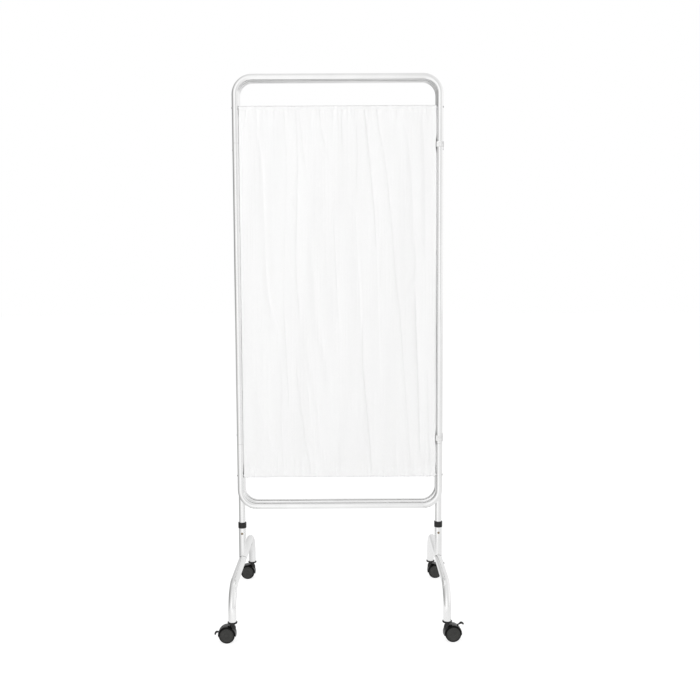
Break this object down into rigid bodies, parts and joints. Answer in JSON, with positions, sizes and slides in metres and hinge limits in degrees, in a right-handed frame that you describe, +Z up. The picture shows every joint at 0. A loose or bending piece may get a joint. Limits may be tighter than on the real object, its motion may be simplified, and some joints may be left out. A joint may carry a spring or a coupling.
{
  "type": "ward privacy screen",
  "caption": "Folding ward privacy screen: framed gathered curtains hinged side by side, standing on tubular feet with braked twin-wheel casters.",
  "frame": {"origin": "on the floor, under the middle of the centre frame, with the screen folded flat", "axes": "+X to the right along the panels seen from the front, +Y from the front of the folded stack to its back, +Z up"},
  "size_m": [0.7773, 0.6508, 1.788],
  "materials": {
    "tube_steel": "polished stainless steel tube",
    "curtain_cloth": "plain white gathered cotton",
    "clip_plastic": "pale grey moulded plastic",
    "black_plastic": "black moulded plastic",
    "wheel_plastic": "dark grey moulded plastic",
    "screw_steel": "yellow-plated steel"
  },
  "bodies": {
    "centre_frame": {"centre_top_bow": "tube_steel", "centre_left_leg": "tube_steel", "centre_right_leg": "tube_steel", "centre_upper_rod": "tube_steel", "centre_lower_rod": "tube_steel", "centre_curtain": "curtain_cloth"},
    "front_clips": {"front_upper_hinge_clip": "clip_plastic", "front_lower_hinge_clip": "clip_plastic"},
    "front_wing": {"front_wing_top_bow": "tube_steel", "front_wing_bottom_bow": "tube_steel", "front_wing_hinge_tube": "tube_steel", "front_wing_free_tube": "tube_steel", "front_wing_upper_rod": "tube_steel", "front_wing_lower_rod": "tube_steel", "front_wing_curtain": "curtain_cloth"},
    "rear_clips": {"rear_upper_hinge_clip": "clip_plastic", "rear_lower_hinge_clip": "clip_plastic"},
    "rear_wing": {"rear_wing_top_bow": "tube_steel", "rear_wing_bottom_bow": "tube_steel", "rear_wing_hinge_tube": "tube_steel", "rear_wing_free_tube": "tube_steel", "rear_wing_upper_rod": "tube_steel", "rear_wing_lower_rod": "tube_steel", "rear_wing_curtain": "curtain_cloth"},
    "left_foot": {"left_foot_tube": "tube_steel", "left_socket_tube": "tube_steel", "left_leg_collar": "black_plastic", "left_lock_screw": "screw_steel", "front_left_caster_socket": "black_plastic", "rear_left_caster_socket": "black_plastic"},
    "right_foot": {"right_foot_tube": "tube_steel", "right_socket_tube": "tube_steel", "right_leg_collar": "black_plastic", "right_lock_screw": "screw_steel", "front_right_caster_socket": "black_plastic", "rear_right_caster_socket": "black_plastic"},
    "front_left_caster": {"front_left_caster_body": "black_plastic", "front_left_axle": "screw_steel"},
    "front_left_wheel_a": {"front_left_wheel_a": "wheel_plastic"},
    "front_left_wheel_b": {"front_left_wheel_b": "wheel_plastic"},
    "front_left_brake_lever": {"front_left_brake_lever": "black_plastic"},
    "front_right_caster": {"front_right_caster_body": "black_plastic", "front_right_axle": "screw_steel"},
    "front_right_wheel_a": {"front_right_wheel_a": "wheel_plastic"},
    "front_right_wheel_b": {"front_right_wheel_b": "wheel_plastic"},
    "front_right_brake_lever": {"front_right_brake_lever": "black_plastic"},
    "rear_left_caster": {"rear_left_caster_body": "black_plastic", "rear_left_axle": "screw_steel"},
    "rear_left_wheel_a": {"rear_left_wheel_a": "wheel_plastic"},
    "rear_left_wheel_b": {"rear_left_wheel_b": "wheel_plastic"},
    "rear_left_brake_lever": {"rear_left_brake_lever": "black_plastic"},
    "rear_right_caster": {"rear_right_caster_body": "black_plastic", "rear_right_axle": "screw_steel"},
    "rear_right_wheel_a": {"rear_right_wheel_a": "wheel_plastic"},
    "rear_right_wheel_b": {"rear_right_wheel_b": "wheel_plastic"},
    "rear_right_brake_lever": {"rear_right_brake_lever": "black_plastic"}
  },
  "joints": [
    {"name": "front_clips_swing", "type": "hinge", "parent": "centre_frame", "child": "front_clips", "pos_m": [0.334, 0, 1.559], "axis": [0, 0, 1], "range_deg": [0, 90]},
    {"name": "front_wing_swing", "type": "hinge", "parent": "front_clips", "child": "front_wing", "pos_m": [0.334, -0.025, 1.559], "axis": [0, 0, 1], "range_deg": [0, 180]},
    {"name": "rear_clips_swing", "type": "hinge", "parent": "centre_frame", "child": "rear_clips", "pos_m": [-0.334, 0, 1.559], "axis": [0, 0, 1], "range_deg": [0, 90]},
    {"name": "rear_wing_swing", "type": "hinge", "parent": "rear_clips", "child": "rear_wing", "pos_m": [-0.334, 0.025, 1.559], "axis": [0, 0, 1], "range_deg": [0, 180]},
    {"name": "left_foot_height", "type": "slide", "parent": "left_foot", "child": "centre_frame", "axis": [0, 0, 1], "range_m": [0, 0.05]},
    {"name": "right_foot_height", "type": "slide", "parent": "centre_frame", "child": "right_foot", "axis": [0, 0, -1], "range_m": [0, 0.05]},
    {"name": "front_left_swivel", "type": "hinge", "parent": "left_foot", "child": "front_left_caster", "pos_m": [-0.334, -0.306, 0.06], "axis": [0, 0, 1], "continuous": true},
    {"name": "front_left_wheel_a_spin", "type": "hinge", "parent": "front_left_caster", "child": "front_left_wheel_a", "pos_m": [-0.3505, -0.306, 0.025], "axis": [0, -1, 0], "continuous": true},
    {"name": "front_left_wheel_b_spin", "type": "hinge", "parent": "front_left_caster", "child": "front_left_wheel_b", "pos_m": [-0.3505, -0.306, 0.025], "axis": [0, -1, 0], "continuous": true},
    {"name": "front_left_brake_press", "type": "hinge", "parent": "front_left_caster", "child": "front_left_brake_lever", "pos_m": [-0.3425, -0.306, 0.032], "axis": [0, -1, 0], "range_deg": [-34, 0]},
    {"name": "front_right_swivel", "type": "hinge", "parent": "right_foot", "child": "front_right_caster", "pos_m": [0.334, -0.306, 0.06], "axis": [0, 0, 1], "continuous": true},
    {"name": "front_right_wheel_a_spin", "type": "hinge", "parent": "front_right_caster", "child": "front_right_wheel_a", "pos_m": [0.35041, -0.30428, 0.025], "axis": [-0.1045, 0.9945, 0], "continuous": true},
    {"name": "front_right_wheel_b_spin", "type": "hinge", "parent": "front_right_caster", "child": "front_right_wheel_b", "pos_m": [0.35041, -0.30428, 0.025], "axis": [-0.1045, 0.9945, 0], "continuous": true},
    {"name": "front_right_brake_press", "type": "hinge", "parent": "front_right_caster", "child": "front_right_brake_lever", "pos_m": [0.34245, -0.30511, 0.032], "axis": [-0.1045, 0.9945, 0], "range_deg": [0, 34]},
    {"name": "rear_left_swivel", "type": "hinge", "parent": "left_foot", "child": "rear_left_caster", "pos_m": [-0.334, 0.306, 0.06], "axis": [0, 0, 1], "continuous": true},
    {"name": "rear_left_wheel_a_spin", "type": "hinge", "parent": "rear_left_caster", "child": "rear_left_wheel_a", "pos_m": [-0.3505, 0.306, 0.025], "axis": [0, -1, 0], "continuous": true},
    {"name": "rear_left_wheel_b_spin", "type": "hinge", "parent": "rear_left_caster", "child": "rear_left_wheel_b", "pos_m": [-0.3505, 0.306, 0.025], "axis": [0, -1, 0], "continuous": true},
    {"name": "rear_left_brake_press", "type": "hinge", "parent": "rear_left_caster", "child": "rear_left_brake_lever", "pos_m": [-0.3425, 0.306, 0.032], "axis": [0, -1, 0], "range_deg": [0, 34]},
    {"name": "rear_right_swivel", "type": "hinge", "parent": "right_foot", "child": "rear_right_caster", "pos_m": [0.334, 0.306, 0.06], "axis": [0, 0, 1], "continuous": true},
    {"name": "rear_right_wheel_a_spin", "type": "hinge", "parent": "rear_right_caster", "child": "rear_right_wheel_a", "pos_m": [0.3505, 0.306, 0.025], "axis": [0, 1, 0], "continuous": true},
    {"name": "rear_right_wheel_b_spin", "type": "hinge", "parent": "rear_right_caster", "child": "rear_right_wheel_b", "pos_m": [0.3505, 0.306, 0.025], "axis": [0, 1, 0], "continuous": true},
    {"name": "rear_right_brake_press", "type": "hinge", "parent": "rear_right_caster", "child": "rear_right_brake_lever", "pos_m": [0.3425, 0.306, 0.032], "axis": [0, 1, 0], "range_deg": [0, 34]}
  ],
  "couplings": [
    {"joint": "right_foot_height", "follows": "left_foot_height", "ratio": 1}
  ]
}
